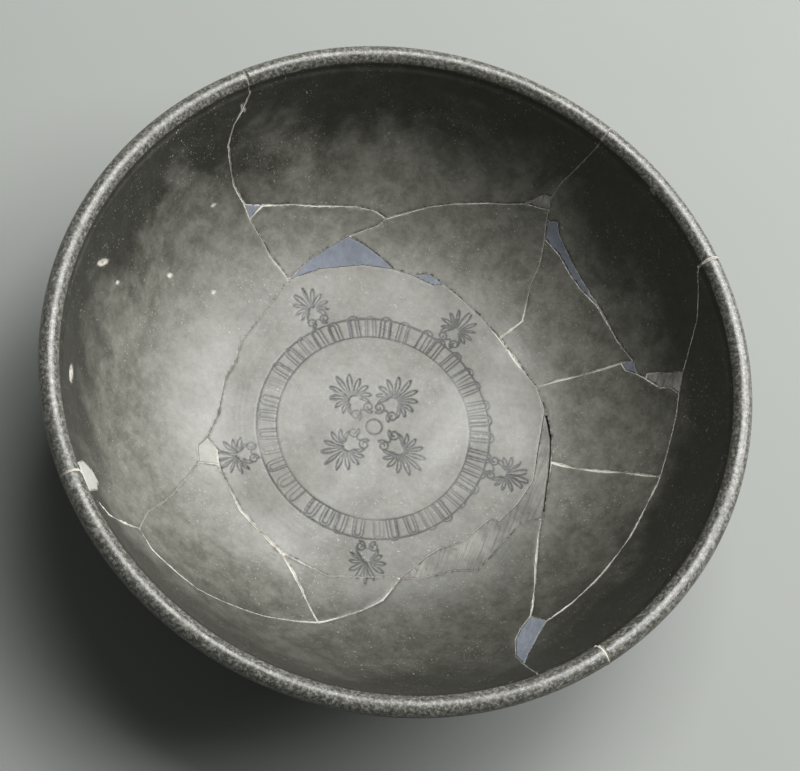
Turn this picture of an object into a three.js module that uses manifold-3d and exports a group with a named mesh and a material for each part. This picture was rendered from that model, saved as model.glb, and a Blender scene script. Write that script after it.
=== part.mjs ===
// A wheel-thrown black-glazed bowl, broken and mended: sherds, plaster fills and a foot ring.
// Millimetres, +Z up, with the origin at the middle of the foot's resting face.

import * as THREE from 'three';
import { mergeVertices } from 'three/addons/utils/BufferGeometryUtils.js';
import Module from 'manifold-3d';

// Driving dimensions of the bowl
const rimRadius = 110; // widest part of the lip
const bowlHeight = 71; // resting face to the top of the lip
const floorTop = 15; // resting face to the inside floor
const floorThickness = 6.5;
const wallThickness = 4.6; // just under the lip
const floorFlatRadius = 48; // where the inside floor starts to rise
const lipRadius = 3.3; // the lip's rounded section
const lipWidth = 6.4; // widest part of the lip to its inner edge
const lipEdgeDrop = 2.3; // top of the lip to its inner edge
const wallSlope = 68; // degrees, at the top of the wall
const grooveDepth = 0.45; // shallow groove just inside the lip
const grooveWidth = 3.2;
const footRadius = 52; // outside of the foot ring, where it meets the floor
const footWidth = 7; // foot ring, from outside to inside
const footBulge = 1.2; // how far the foot ring swells past footRadius
const restWidth = 5; // flat face that the bowl stands on

// Driving dimensions of the mend
const joint = 0.3; // glued joint between two pieces
const openJoint = 0.9; // the joint that was left gaping beside the plaster
const footSetOut = 2; // the foot ring's outside to the foot line, where the floor broke
const breakRise = 34; // the breaks fan out from a point on the axis, this far above the lip
const cutInside = 3; // how far a cut starts inside the inner face
const cutThrough = 14; // and how far it runs on beyond that face

// Fineness of the round shapes
const facets = 72;
const wallSteps = 8;
const lipSteps = 6;

const finishes = {
  glaze: { color: 0x1d1e19, roughness: 0.28, metalness: 0.0 },
  greyPlaster: { color: 0x7c8794, roughness: 0.8, metalness: 0.0 },
  palePlaster: { color: 0xb4b2a8, roughness: 0.9, metalness: 0.0 },
};
const materials = Object.fromEntries(
  Object.entries(finishes).map(([name, finish]) => [name, new THREE.MeshStandardMaterial(finish)]),
);

const wasm = await Module();
wasm.setup();

// Turns a closed geometry into a solid, leaving out the triangles that collapse on the axis.
function solidFrom(geometry) {
  const bare = geometry.clone();
  bare.deleteAttribute('normal');
  bare.deleteAttribute('uv');
  const merged = mergeVertices(bare, 1e-4);
  const index = merged.index.array;
  const triangles = [];
  for (let i = 0; i < index.length; i += 3) {
    const [a, b, c] = index.slice(i, i + 3);
    if (a !== b && b !== c && c !== a) triangles.push(a, b, c);
  }
  return new wasm.Manifold(
    new wasm.Mesh({
      numProp: 3,
      vertProperties: new Float32Array(merged.attributes.position.array),
      triVerts: new Uint32Array(triangles),
    }),
  );
}

function geometryFrom(solid) {
  const mesh = solid.getMesh();
  const geometry = new THREE.BufferGeometry();
  geometry.setAttribute('position', new THREE.BufferAttribute(mesh.vertProperties, 3));
  geometry.setIndex(new THREE.BufferAttribute(mesh.triVerts, 1));
  return geometry;
}

// Spins a profile of [radius, height] points about the Z axis.
function spun(profile) {
  const points = profile.map((p) => new THREE.Vector2(p.x, p.y));
  return new THREE.LatheGeometry(points, facets).rotateX(Math.PI / 2);
}

const radians = THREE.MathUtils.degToRad;
const at = (radius, height) => new THREE.Vector2(radius, height);

// Section of the bowl: the inside face from the axis to the lip's inner edge
const lipEdge = at(rimRadius - lipWidth, bowlHeight - lipEdgeDrop);
const slope = at(Math.cos(radians(wallSlope)), Math.sin(radians(wallSlope)));
const outward = at(slope.y, -slope.x);
const wallTop = lipEdge.clone().addScaledVector(slope, -grooveWidth);
const grooveMiddle = lipEdge.clone().lerp(wallTop, 0.5).addScaledVector(outward, grooveDepth);
const floorEdge = at(floorFlatRadius, floorTop);
const wallRun = wallTop.x - floorEdge.x;
const wallRise = wallTop.y - floorEdge.y;
const insideWall = new THREE.CubicBezierCurve(
  floorEdge,
  at(floorEdge.x + 0.55 * wallRun, floorEdge.y + 0.006 * wallRise),
  wallTop.clone().addScaledVector(slope, -0.53 * wallRise),
  wallTop,
);
const insideFace = [at(0, floorTop), ...insideWall.getPoints(wallSteps), grooveMiddle, lipEdge];

// The lip is a round section, from its inner side over the top and down to its underside
const lipMiddle = at(rimRadius - lipRadius, bowlHeight - lipRadius);
const lipStart = radians(120);
const lipEnd = radians(-60);
const lipFace = [];
for (let i = 0; i <= lipSteps; i += 1) {
  const angle = THREE.MathUtils.lerp(lipStart, lipEnd, i / lipSteps);
  lipFace.push(lipMiddle.clone().add(at(Math.cos(angle), Math.sin(angle)).multiplyScalar(lipRadius)));
}

// The outside face keeps its distance from the inside one, and thickens towards the floor
const outsideFace = [];
for (let i = wallSteps; i >= 0; i -= 1) {
  const t = i / wallSteps;
  const along = insideWall.getTangent(t);
  const thickness = THREE.MathUtils.lerp(floorThickness, wallThickness, t);
  outsideFace.push(insideWall.getPoint(t).add(at(along.y, -along.x).multiplyScalar(thickness)));
}
const underside = floorTop - floorThickness;

const bowl = solidFrom(spun([...insideFace, ...lipFace, ...outsideFace, at(0, underside)].reverse()));

// Places a surveyed point of the inside face. turn is in degrees round from +X. reach says how far
// out the point is, along the face: 0 in the middle, 100 at the foot line, 200 at the lip's inner
// edge and 220 past the lip.
const footLine = footRadius + footSetOut;
const faceLengths = [0];
for (let i = 1; i < insideFace.length; i += 1) {
  faceLengths.push(faceLengths[i - 1] + insideFace[i].distanceTo(insideFace[i - 1]));
}

function alongFace(length) {
  const last = insideFace.length - 1;
  const i = Math.min(Math.max(faceLengths.findIndex((l) => l > length), 1), last);
  const start = length >= faceLengths[last] ? last : i;
  const t = (length - faceLengths[start - 1]) / (faceLengths[start] - faceLengths[start - 1]);
  return insideFace[start - 1].clone().lerp(insideFace[start], t);
}

function lengthAtRadius(radius) {
  const i = insideFace.findIndex((p) => p.x > radius);
  const t = (radius - insideFace[i - 1].x) / (insideFace[i].x - insideFace[i - 1].x);
  return THREE.MathUtils.lerp(faceLengths[i - 1], faceLengths[i], t);
}

const floorLength = lengthAtRadius(footLine);
const faceLength = faceLengths[faceLengths.length - 1];
const pastLip = at(rimRadius + cutInside, bowlHeight + cutInside);

function place([turn, reach]) {
  let section;
  if (reach <= 100) section = alongFace((floorLength * reach) / 100);
  else if (reach <= 200) section = alongFace(floorLength + ((faceLength - floorLength) * (reach - 100)) / 100);
  else section = lipEdge.clone().lerp(pastLip, (reach - 200) / 20);
  const angle = radians(turn);
  return new THREE.Vector3(section.x * Math.cos(angle), section.x * Math.sin(angle), section.y);
}

// A break is cut by a thin ribbon along its line. Each stretch of the ribbon lies in a plane through
// the break centre, so the broken faces stand square to the wall and the floor.
const breakCentre = new THREE.Vector3(0, 0, bowlHeight + breakRise);
const fromCentre = (point) => point.clone().sub(breakCentre).normalize();
const pastEnd = (end, before, distance) => end.clone().add(end.clone().sub(before).setLength(distance));

function breakAlong(points, width = joint) {
  const inner = points.map(place);
  const last = inner.length - 1;
  const line = [...inner];
  line[0] = pastEnd(inner[0], inner[1], width / 2);
  line[last] = pastEnd(inner[last], inner[last - 1], width / 2);
  const rays = line.map(fromCentre);
  const squares = rays.slice(1).map((ray, i) => rays[i].clone().cross(ray).normalize());
  const corners = [];
  line.forEach((point, i) => {
    const before = squares[Math.max(i - 1, 0)];
    const after = squares[Math.min(i, last - 1)];
    const mitre = before.clone().add(after).multiplyScalar(width / 2 / (1 + before.dot(after)));
    for (const depth of [-cutInside, cutThrough]) {
      const middle = point.clone().addScaledVector(rays[i], depth);
      corners.push(middle.clone().sub(mitre), middle.clone().add(mitre));
    }
  });
  const faces = [0, 3, 1, 0, 2, 3];
  for (let k = 0; k < 4 * last; k += 4) {
    const sides = [0, 5, 4, 0, 1, 5, 2, 7, 3, 2, 6, 7, 0, 6, 2, 0, 4, 6, 1, 7, 5, 1, 3, 7];
    faces.push(...sides.map((corner) => corner + k));
  }
  faces.push(...[0, 3, 2, 0, 1, 3].map((corner) => corner + 4 * last));
  const ribbon = new THREE.BufferGeometry().setFromPoints(corners);
  ribbon.setIndex(faces);
  return solidFrom(ribbon);
}

// Corners where breaks meet, each [turn, reach]
const crescentTip = [143, 104];
const leftFillOuter = [146, 143];
const leftFillRight = [142, 139];
const leftFillLower = [146, 136];
const backFork = [110, 124];
const crescentTop = [121, 116];
const crescentEnd = [106, 102];
const lensStart = [99, 101];
const lensEnd = [88, 102];
const backFillLeft = [79, 152];
const backFillTop = [75, 162];
const backFillFoot = [74, 156];
const wedgeLeft = [73, 151];
const wedgeInner = [71, 144];
const wedgeTip = [51, 142];
const floorBackRight = [60, 97];
const patchLeft = [36, 141];
const patchTop = [35, 147];
const patchFoot = [32, 147];
const rightFillCorner = [28, 171];
const rightFillFoot = [24, 167];
const floorRight = [38, 102];
const slitTop = [29, 103];
const slitMiddle = [11, 105];
const slitFoot = [352, 110];
const rightFork = [7, 159];
const shardFillTop = [326, 141];
const shardFillRight = [327, 150];
const shardFillFoot = [315, 177];
const bandStart = [300, 97];
const bandTop = [27, 102];
const frontFork = [276, 126];
const floorFront = [257, 101];
const leftPatchOuter = [218, 108];
const leftPatchTop = [210, 102];
const leftPatchFoot = [220, 100];
const frontLeftFork = [234, 161];
const blobLeft = [223, 197];
const blobRight = [228, 197];

const breaks = [
  // From the lip at the back left down to the crescent fill
  [[140, 220], [140, 196], [142, 188], [144, 183], [146, 174], [147, 154], leftFillOuter],
  [leftFillOuter, leftFillLower, leftFillRight, leftFillOuter],
  [leftFillLower, [145, 124], [145, 117], [144, 111], crescentTip],
  // Across the back of the wall, and up to its fill
  [leftFillRight, [135, 135], [128, 131], [118, 129], [113, 127], backFork],
  [crescentTop, [112, 121], backFork, [99, 133], [94, 137], [87, 143], [82, 148], backFillLeft],
  [backFillLeft, [77, 160], backFillTop, backFillFoot, [76, 154], backFillLeft],
  [[73, 220], [73, 196], [74, 181], [75, 170], backFillTop],
  [backFillFoot, wedgeLeft],
  // The long wedge fill and the breaks round it
  [wedgeLeft, [71, 154], [69, 150], [63, 145], [56, 142.5], wedgeTip],
  [wedgeLeft, wedgeInner, [66, 143], [61, 140.5], [56, 140], wedgeTip],
  [wedgeInner, [68, 134], [66, 124], [63, 117], [60, 111], [60, 104], floorBackRight],
  [wedgeTip, [47, 142], [41, 143], patchTop],
  [patchTop, patchFoot, [34, 142], patchLeft, patchTop],
  [floorRight, [38, 111], [37, 125], patchLeft],
  // Down the right wall
  [[44, 220], [44, 197], [41, 193], [36, 186], [31, 176], rightFillCorner],
  [rightFillCorner, rightFillFoot, [26, 163], [27, 157], [30, 151], patchFoot],
  [rightFillCorner, [31, 152], [30, 151]],
  [rightFillFoot, [20, 165], [13, 161], rightFork],
  [slitMiddle, [10, 115], [9, 139], rightFork],
  [rightFork, [1, 156], [352, 154], [342, 152], [334, 151], shardFillRight],
  [slitFoot, [345, 114], [338, 121], [334, 127], shardFillTop],
  [shardFillTop, shardFillRight, [323, 156], [318, 167], shardFillFoot],
  [shardFillFoot, [316, 164], [319, 151], [322, 145], shardFillTop],
  [shardFillFoot, [314, 197], [320, 198], [325, 197], [325, 220]],
  // Round the front and up the front left
  [frontLeftFork, [239, 162], [244, 157], [250, 153], [256, 145], [264, 137], frontFork],
  [frontFork, [287, 114], [293, 108], bandStart],
  [floorFront, [264, 106], [269, 112], frontFork],
  [leftPatchOuter, [222, 115], [226, 125], [228, 133], [230, 146], frontLeftFork],
  [leftPatchTop, [213, 107], leftPatchOuter, leftPatchFoot],
  [frontLeftFork, [232, 188], blobRight],
  [blobRight, [227, 186], [225, 181], [223, 184], [222, 191], blobLeft],
  [blobLeft, blobRight],
  [[224.5, 220], [224.5, 197]],
  // Round the floor, where the bowl parted outside its foot ring
  [crescentTip, [132, 104], [117, 103], crescentEnd, lensStart],
  [lensStart, [91, 99.5], lensEnd, [79, 100], [70, 98], floorBackRight],
  [floorBackRight, [53, 97], [47, 98], floorRight, slitTop, bandTop],
  [bandStart, [275, 101], floorFront, [238, 100.5], leftPatchFoot],
  [leftPatchFoot, [215, 99], leftPatchTop, [202, 96], [187, 95], [180, 93], [172, 96], [160, 97], crescentTip],
  // The other edges of the crescent, the lens and the plaster band
  [crescentTip, [134, 109], [124, 114], crescentTop, [116, 112], [111, 107], crescentEnd],
  [lensStart, [94, 104], lensEnd],
  [bandStart, [311, 88], [318, 86], [326, 89], [341, 89], [343, 94], [352, 97], [3, 100], [14, 99], bandTop],
  [bandStart, [305, 99], [319, 101], [325, 105.5], [338, 102.5], [347, 103], slitFoot],
];

// The one joint that gapes, between the plaster band and the right wall
const openBreaks = [[slitTop, [19, 104.5], slitMiddle, [1, 106.5], slitFoot]];

const cuts = breaks.map((points) => breakAlong(points));
const openCuts = openBreaks.map((points) => breakAlong(points, openJoint));
const broken = bowl.subtract(wasm.Manifold.union([...cuts, ...openCuts])).decompose();

// Every piece of the broken bowl, with a point of its own on the inside face
const pieces = [
  ['rim_sherd_back', [105, 175], 'glaze'],
  ['rim_sherd_back_right', [58, 175], 'glaze'],
  ['rim_sherd_right', [0, 178], 'glaze'],
  ['rim_sherd_front', [285, 160], 'glaze'],
  ['rim_sherd_left', [180, 150], 'glaze'],
  ['wall_sherd_back_left', [130, 122], 'glaze'],
  ['wall_sherd_back', [85, 120], 'glaze'],
  ['wall_sherd_right_back', [50, 120], 'glaze'],
  ['wall_sherd_right', [20, 130], 'glaze'],
  ['wall_sherd_right_front', [345, 130], 'glaze'],
  ['wall_sherd_front_left', [240, 130], 'glaze'],
  ['wall_sherd_front', [282, 108], 'glaze'],
  ['floor_sherd', [0, 20], 'glaze'],
  ['crescent_fill', [121, 109], 'greyPlaster'],
  ['lens_fill', [93, 102], 'greyPlaster'],
  ['back_corner_fill', [76, 157], 'palePlaster'],
  ['wedge_fill', [70, 148], 'greyPlaster'],
  ['right_patch_fill', [34.5, 145], 'greyPlaster'],
  ['right_corner_fill', [27.5, 165], 'palePlaster'],
  ['floor_band_fill', [330, 96], 'palePlaster'],
  ['front_wedge_fill', [321, 155], 'greyPlaster'],
  ['back_left_fill', [145, 139], 'greyPlaster'],
  ['left_patch_fill', [215, 103], 'palePlaster'],
  ['left_rim_fill', [225, 190], 'palePlaster'],
];

const looker = new THREE.Raycaster();
const shapes = broken.map((solid) => new THREE.Mesh(geometryFrom(solid)));
for (const shape of shapes) shape.material.side = THREE.DoubleSide;

// Finds the piece that lies behind a surveyed point, seen from the break centre.
function shapeBehind(survey) {
  looker.set(breakCentre, fromCentre(place(survey)));
  return looker.intersectObjects(shapes)[0].object;
}

const model = new THREE.Group();
for (const [name, survey, finish] of pieces) {
  const mesh = new THREE.Mesh(shapeBehind(survey).geometry, materials[finish]);
  mesh.name = name;
  model.add(mesh);
}

// The foot ring, turned separately and luted under the floor
const footTop = underside - joint;
const footInner = footRadius - footWidth;
const restOuter = footRadius + footBulge - (footWidth + footBulge - restWidth) / 2;
const footSection = [
  at(footRadius, footTop),
  at(footRadius + footBulge, footTop * 0.62),
  at(footRadius + footBulge, footTop * 0.34),
  at(footRadius + 0.5 * footBulge, footTop * 0.1),
  at(restOuter, 0),
  at(restOuter - restWidth, 0),
  at(footInner + 0.5, footTop * 0.3),
  at(footInner, footTop),
  at(footRadius, footTop),
];
const foot = new THREE.Mesh(geometryFrom(solidFrom(spun(footSection.reverse()))), materials.glaze);
foot.name = 'foot_ring';
model.add(foot);

export default model;
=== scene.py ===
"""A mended black-glazed bowl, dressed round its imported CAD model.

Everything is in metres, with +Z up and the origin under the middle of the foot. Each sherd and fill is cut
from a fine turned shell by its own CAD solid, so it keeps the CAD's broken outline and gains a true curve.
"""

import logging
from dataclasses import dataclass
from enum import Enum
from math import ceil, cos, pi, radians, sin

import bmesh
import bpy
import numpy as np
from mathutils import Matrix, Vector, noise
from mathutils.kdtree import KDTree


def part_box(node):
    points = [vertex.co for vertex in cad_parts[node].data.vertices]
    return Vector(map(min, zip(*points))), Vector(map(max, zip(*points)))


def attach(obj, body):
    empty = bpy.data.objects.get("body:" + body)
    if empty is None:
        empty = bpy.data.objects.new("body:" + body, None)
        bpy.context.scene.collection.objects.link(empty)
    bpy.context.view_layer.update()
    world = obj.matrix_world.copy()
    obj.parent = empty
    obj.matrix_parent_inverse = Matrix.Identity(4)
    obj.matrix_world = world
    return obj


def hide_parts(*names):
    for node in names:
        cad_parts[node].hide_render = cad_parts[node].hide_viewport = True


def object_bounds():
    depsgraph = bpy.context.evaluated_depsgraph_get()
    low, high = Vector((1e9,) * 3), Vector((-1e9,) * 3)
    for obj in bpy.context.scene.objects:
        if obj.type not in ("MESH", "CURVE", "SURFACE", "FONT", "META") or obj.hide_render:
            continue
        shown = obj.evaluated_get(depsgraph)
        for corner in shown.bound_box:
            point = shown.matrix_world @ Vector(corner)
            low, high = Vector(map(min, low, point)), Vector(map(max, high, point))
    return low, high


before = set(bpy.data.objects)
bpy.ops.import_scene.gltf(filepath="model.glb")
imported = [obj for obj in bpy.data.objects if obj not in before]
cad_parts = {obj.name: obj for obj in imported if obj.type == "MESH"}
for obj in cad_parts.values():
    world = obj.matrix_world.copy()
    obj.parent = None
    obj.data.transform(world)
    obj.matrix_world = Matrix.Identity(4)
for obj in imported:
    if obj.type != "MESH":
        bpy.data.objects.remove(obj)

MM = 0.001
BODY = "root"
PHOTO_WIDTH = 800
FULL_TURN = 2 * pi
CAD_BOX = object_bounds()
BREAK_RISE = 34 * MM  # the breaks fan out from a point on the axis, this far above the lip
log = logging.getLogger("bowl")

Array = np.ndarray
Mesh = bpy.types.Mesh
Object = bpy.types.Object
Socket = bpy.types.NodeSocket
Pair = tuple[float, float]
Colour = tuple[float, float, float]


class Slot(Enum):
    """Material slots of the record."""

    GLAZE = "black_glaze"
    GREY = "grey_plaster"
    PALE = "pale_plaster"


class Cut(Enum):
    """Ways in which one solid works on another."""

    KEEP_SHARED = "INTERSECT"
    TAKE_AWAY = "DIFFERENCE"


def rotated_out(way: Array) -> Array:
    """Turns directions along the inside face into directions out through the wall."""
    return np.stack([way[:, 1], -way[:, 0]], 1)


def shaded(colour: Colour, share: float) -> Colour:
    """A colour made darker by a share."""
    return tuple(share * c for c in colour)


@dataclass(frozen=True)
class Section:
    """The bowl's turned section. Its fine faces lie a skin inside those of the CAD solids."""

    rim_radius: float
    height: float
    floor_top: float = 15 * MM
    floor_flat: float = 48 * MM
    floor_thickness: float = 6.5 * MM
    wall_thickness: float = 4.6 * MM
    wall_slope: float = radians(68)
    low_pull: Pair = (0.55, 0.006)
    high_pull: float = 0.53
    lip_radius: float = 3.3 * MM
    lip_width: float = 6.4 * MM
    lip_drop: float = 2.3 * MM
    lip_turn: Pair = (118, -60)
    groove_depth: float = 0.45 * MM
    groove_width: float = 3.2 * MM
    foot_line: float = 54 * MM
    inner_edge: float = 40 * MM
    inner_skin: float = 0.03 * MM
    outer_skin: float = 0.45 * MM
    lip_skin: float = 0.2 * MM

    @property
    def slope(self) -> Array:
        """Direction of the wall where it meets the lip."""
        return np.array([cos(self.wall_slope), sin(self.wall_slope)])

    @property
    def lip_edge(self) -> Array:
        """Inner edge of the lip."""
        return np.array([self.rim_radius - self.lip_width, self.height - self.lip_drop])

    @property
    def wall_top(self) -> Array:
        """Lower edge of the groove under the lip."""
        return self.lip_edge - self.slope * self.groove_width

    def wall(self, t: Array) -> tuple[Array, Array]:
        """The inside wall, a cubic from the floor's edge to the wall's top.

        Args:
            t: Places along the curve, from 0 to 1.

        Returns:
            The points, and the unit tangents.
        """
        start = np.array([self.floor_flat, self.floor_top])
        end = self.wall_top
        size = end - start
        low = start + size * self.low_pull
        high = end - self.slope * self.high_pull * size[1]
        t = np.asarray(t, float)[:, None]
        s = 1 - t
        places = s**3 * start + 3 * s * s * t * low + 3 * s * t * t * high + t**3 * end
        way = s * s * (low - start) + 2 * s * t * (high - low) + t * t * (end - high)
        return places, way / np.linalg.norm(way, axis=1)[:, None]

    def inside(self, skin: float, step: float = 0.7 * MM) -> Array:
        """The inside face from the shell's inner edge to the lip's inner edge.

        Args:
            skin: How deep it lies under the true face.
            step: Spacing of its points.

        Returns:
            Points as rows of radius and height.
        """
        flat = np.arange(self.inner_edge, self.floor_flat, step)
        floor = np.stack([flat, np.full_like(flat, self.floor_top - skin)], 1)
        length_to_run = 1.5
        count = int((self.wall_top[0] - self.floor_flat) * length_to_run / step)
        places, way = self.wall(np.linspace(0, 1, count))
        outward = rotated_out(way)
        t = np.linspace(0, 1, 9)[1:, None]
        groove = self.wall_top + t * (self.lip_edge - self.wall_top)
        groove = groove + outward[-1] * np.sin(pi * t) * self.groove_depth
        return np.vstack([floor, places + outward * skin, groove + outward[-1] * skin])

    def lip(self, skin: float, steps: int = 26) -> Array:
        """The lip's round section, from its inner side over the top to its underside."""
        start, end = (radians(turn) for turn in self.lip_turn)
        angles = np.linspace(start, end, steps)
        middle = np.array([self.rim_radius - self.lip_radius, self.height - self.lip_radius])
        return middle + (self.lip_radius - skin) * np.stack([np.cos(angles), np.sin(angles)], 1)

    def outside(self, skin: float, steps: int = 34) -> Array:
        """The outside face from under the lip to the shell's inner edge under the floor."""
        t = np.linspace(1, 0, steps)
        places, way = self.wall(t)
        thickness = self.floor_thickness + t * (self.wall_thickness - self.floor_thickness) - skin
        underside = np.array([[self.inner_edge, self.floor_top - self.floor_thickness + skin]])
        return np.vstack([places + rotated_out(way) * thickness[:, None], underside])

    def outline(self, sunk: float = 0.0) -> Array:
        """The whole closed section, all of it sunk by one more amount."""
        faces = (
            self.inside(self.inner_skin + sunk),
            self.lip(self.lip_skin + sunk),
            self.outside(self.outer_skin + sunk),
        )
        return np.vstack(faces)

    def floor_height(self, radius: Array) -> Array:
        """Height of the fine inside face at each radius."""
        line = self.inside(self.inner_skin)
        return np.interp(radius, line[:, 0], line[:, 1])

    def place(self, turn: float, reach: float) -> Vector:
        """A surveyed point of the inside face.

        Args:
            turn: Degrees round from +X.
            reach: 0 in the middle, 100 at the foot line and 200 at the lip's inner edge.

        Returns:
            The point in the frame.
        """
        line = np.vstack([[0, self.floor_top], self.inside(0)])
        length = np.concatenate([[0], np.cumsum(np.hypot(*np.diff(line, axis=0).T))])
        foot = np.interp(self.foot_line, line[:, 0], length)
        along = foot * reach / 100 if reach <= 100 else foot + (length[-1] - foot) * (reach / 100 - 1)
        radius, height = (np.interp(along, length, line[:, i]) for i in (0, 1))
        angle = radians(turn)
        return Vector((radius * cos(angle), radius * sin(angle), height))


def floor_stroke(points: Array, turn: float, base: float, centre: Array) -> Array:
    """Moves a stroke drawn upright on its base line to its place on the floor.

    Args:
        points: Rows of across and up.
        turn: The direction that it points in, in degrees.
        base: How far its base line is from the decoration's centre.
        centre: The decoration's centre.

    Returns:
        Rows of x and y.
    """
    angle = radians(turn)
    out = np.array([cos(angle), sin(angle)])
    side = np.array([-out[1], out[0]])
    return centre + (points[:, 1:] + base) * out + points[:, :1] * side


@dataclass(frozen=True)
class Palmette:
    """One stamped palmette: a fan of outlined petals round an open heart, over two volutes."""

    height: float = 17 * MM
    heart: float = 6.6 * MM
    heart_gap: float = 2.2 * MM
    petals: int = 11
    fan: float = radians(112)
    petal_width: float = 0.62 * MM
    side_loss: float = 0.5
    petal_bend: float = 0.3
    straight_at: float = 0.6
    volute: float = 2.1 * MM
    volute_spread: float = 2.9 * MM
    volute_turns: float = 1.4
    volute_wind: float = 0.75
    stem_share: float = 0.42

    def petal(self, lean: float) -> list[Array]:
        """Both sides of the petal that leans by this angle."""
        s = np.linspace(0, 1, 60)
        length = (self.height - self.heart) * (1 - self.side_loss * (abs(lean) / self.fan) ** 1.2)
        swell = self.petal_width * np.sin(pi * s**1.5) ** 0.7
        bend = lean + self.petal_bend * lean * (s - self.straight_at)
        way = self.heart_gap + s * (length - self.heart_gap)
        axis = np.stack([np.sin(bend), np.cos(bend)], 1) * way[:, None]
        across = np.stack([np.cos(bend), -np.sin(bend)], 1) * swell[:, None]
        return [axis + side * across + (0, self.heart) for side in (1, -1)]

    def volute_lines(self, side: int) -> list[Array]:
        """The spiral on one side, and its stem."""
        turn = np.linspace(0, self.volute_turns * FULL_TURN, 90)
        radius = self.volute * (1 - self.volute_wind * turn / turn[-1])
        across = side * (self.volute_spread - np.sin(turn) * radius)
        spiral = np.stack([across, -np.cos(turn) * radius], 1) + (0, 1.2 * self.volute)
        rise = np.linspace(0, 1, 30)
        reach = self.volute_spread * (1 - rise**1.6)
        stem = np.stack([side * reach, 0.2 * self.volute + rise * self.heart * self.stem_share], 1)
        return [spiral, stem]

    def strokes(self) -> list[Array]:
        """The palmette's lines, upright, with its base at zero."""
        lines = []
        for lean in np.linspace(-self.fan, self.fan, self.petals):
            lines += self.petal(lean)
        for side in (1, -1):
            lines += self.volute_lines(side)
        return lines


@dataclass(frozen=True)
class Decoration:
    """The stamped and incised pattern on the floor, drawn a little off the bowl's axis."""

    centre_turn: float = 249
    centre_offset: float = 1.9 * MM
    ring_outer: float = 38.4 * MM
    ring_inner: float = 31.9 * MM
    eye_radius: float = 2.6 * MM
    deep_circle: float = 0.2 * MM
    shallow_circle: float = 0.16 * MM
    ovules: int = 38
    ovule_width: float = 1.75 * MM
    ovule_inset: float = 1.6 * MM
    ovule_rise: float = 0.55 * MM
    ovule_drift: float = 0.8 * MM
    ovule_depth: float = 0.17 * MM
    ovule_base: float = 0.1 * MM
    drift_turn: float = 45
    inner_turns: tuple[float, ...] = (148, 76, 242, 339)
    inner_base: float = 4 * MM
    outer_turns: tuple[float, ...] = (138.7, 73.9, 4.1, 288.7, 217.3)
    outer_base: float = 38.8 * MM
    outer_size: float = 0.86
    stamp_narrow: float = 0.92
    stamp_depth: float = 0.2 * MM
    line_half_width: float = 0.36 * MM
    point_gap: float = 0.02 * MM
    seed: int = 7

    @property
    def centre(self) -> Array:
        """Where the wheel's centre was when the pattern was made."""
        angle = radians(self.centre_turn)
        return self.centre_offset * np.array([cos(angle), sin(angle)])

    def tongue(self, width: float, length: float) -> Array:
        """One ovule line: two straight sides and a round end, standing on its base line."""
        bow = np.linspace(0, pi, 24)
        end = np.stack([width * np.cos(bow), (length - width) + width * np.sin(bow)], 1)
        side = np.linspace(0, length - width, 40)
        right = np.stack([np.full_like(side, width), side], 1)
        left = np.stack([np.full_like(side, -width), side[::-1]], 1)
        return np.vstack([right, end, left])

    def circle(self, radius: float) -> Array:
        """One incised circle."""
        angle = np.linspace(0, FULL_TURN, int(radius / self.point_gap))
        return self.centre + radius * np.stack([np.cos(angle), np.sin(angle)], 1)

    def ovule_lines(self, draw: np.random.Generator) -> list[tuple[Array, float]]:
        """The ring of double-lined ovules, each a little out of place, with their depths."""
        lines = []
        band = self.ring_outer - self.ring_inner
        for i in range(self.ovules):
            turn = 360 / self.ovules * (i + draw.normal(0, 0.1))
            drift = self.ovule_drift * cos(radians(turn - self.drift_turn))
            rise = self.ovule_rise + drift + draw.normal(0, 0.25 * MM)
            depth = self.ovule_depth * draw.uniform(0.6, 1.15)
            for share in (1.0, 0.5):
                length = band + rise - (1 - share) * self.ovule_inset
                tongue = self.tongue(self.ovule_width * share, length)
                tilt = turn + draw.normal(0, 0.35)
                base = self.ring_inner + self.ovule_base
                lines.append((floor_stroke(tongue, tilt, base, self.centre), depth))
        return lines

    def palmette_lines(self, draw: np.random.Generator) -> list[tuple[Array, float]]:
        """The nine stamped palmettes, with their depths."""
        rows = (
            (self.inner_turns, self.inner_base, 1.0),
            (self.outer_turns, self.outer_base, self.outer_size),
        )
        lines = []
        for turns, base, size in rows:
            scale = (self.stamp_narrow * size, size)
            for turn in turns:
                depth = self.stamp_depth * draw.uniform(0.8, 1.1)
                for stroke in Palmette().strokes():
                    shaky = turn + draw.normal(0, 0.4)
                    lines.append((floor_stroke(stroke * scale, shaky, base, self.centre), depth))
        return lines

    def grooves(self) -> tuple[Array, Array]:
        """Every line of the pattern as close points.

        Returns:
            The points, and the depth of the groove at each.
        """
        draw = np.random.default_rng(self.seed)
        lines = [
            (self.circle(self.ring_outer), self.deep_circle),
            (self.circle(self.ring_inner), self.shallow_circle),
            (self.circle(self.eye_radius), self.deep_circle),
        ]
        lines += self.ovule_lines(draw)
        lines += self.palmette_lines(draw)
        points = np.vstack([line for line, _ in lines])
        depths = np.concatenate([np.full(len(line), depth) for line, depth in lines])
        return points, depths


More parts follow.
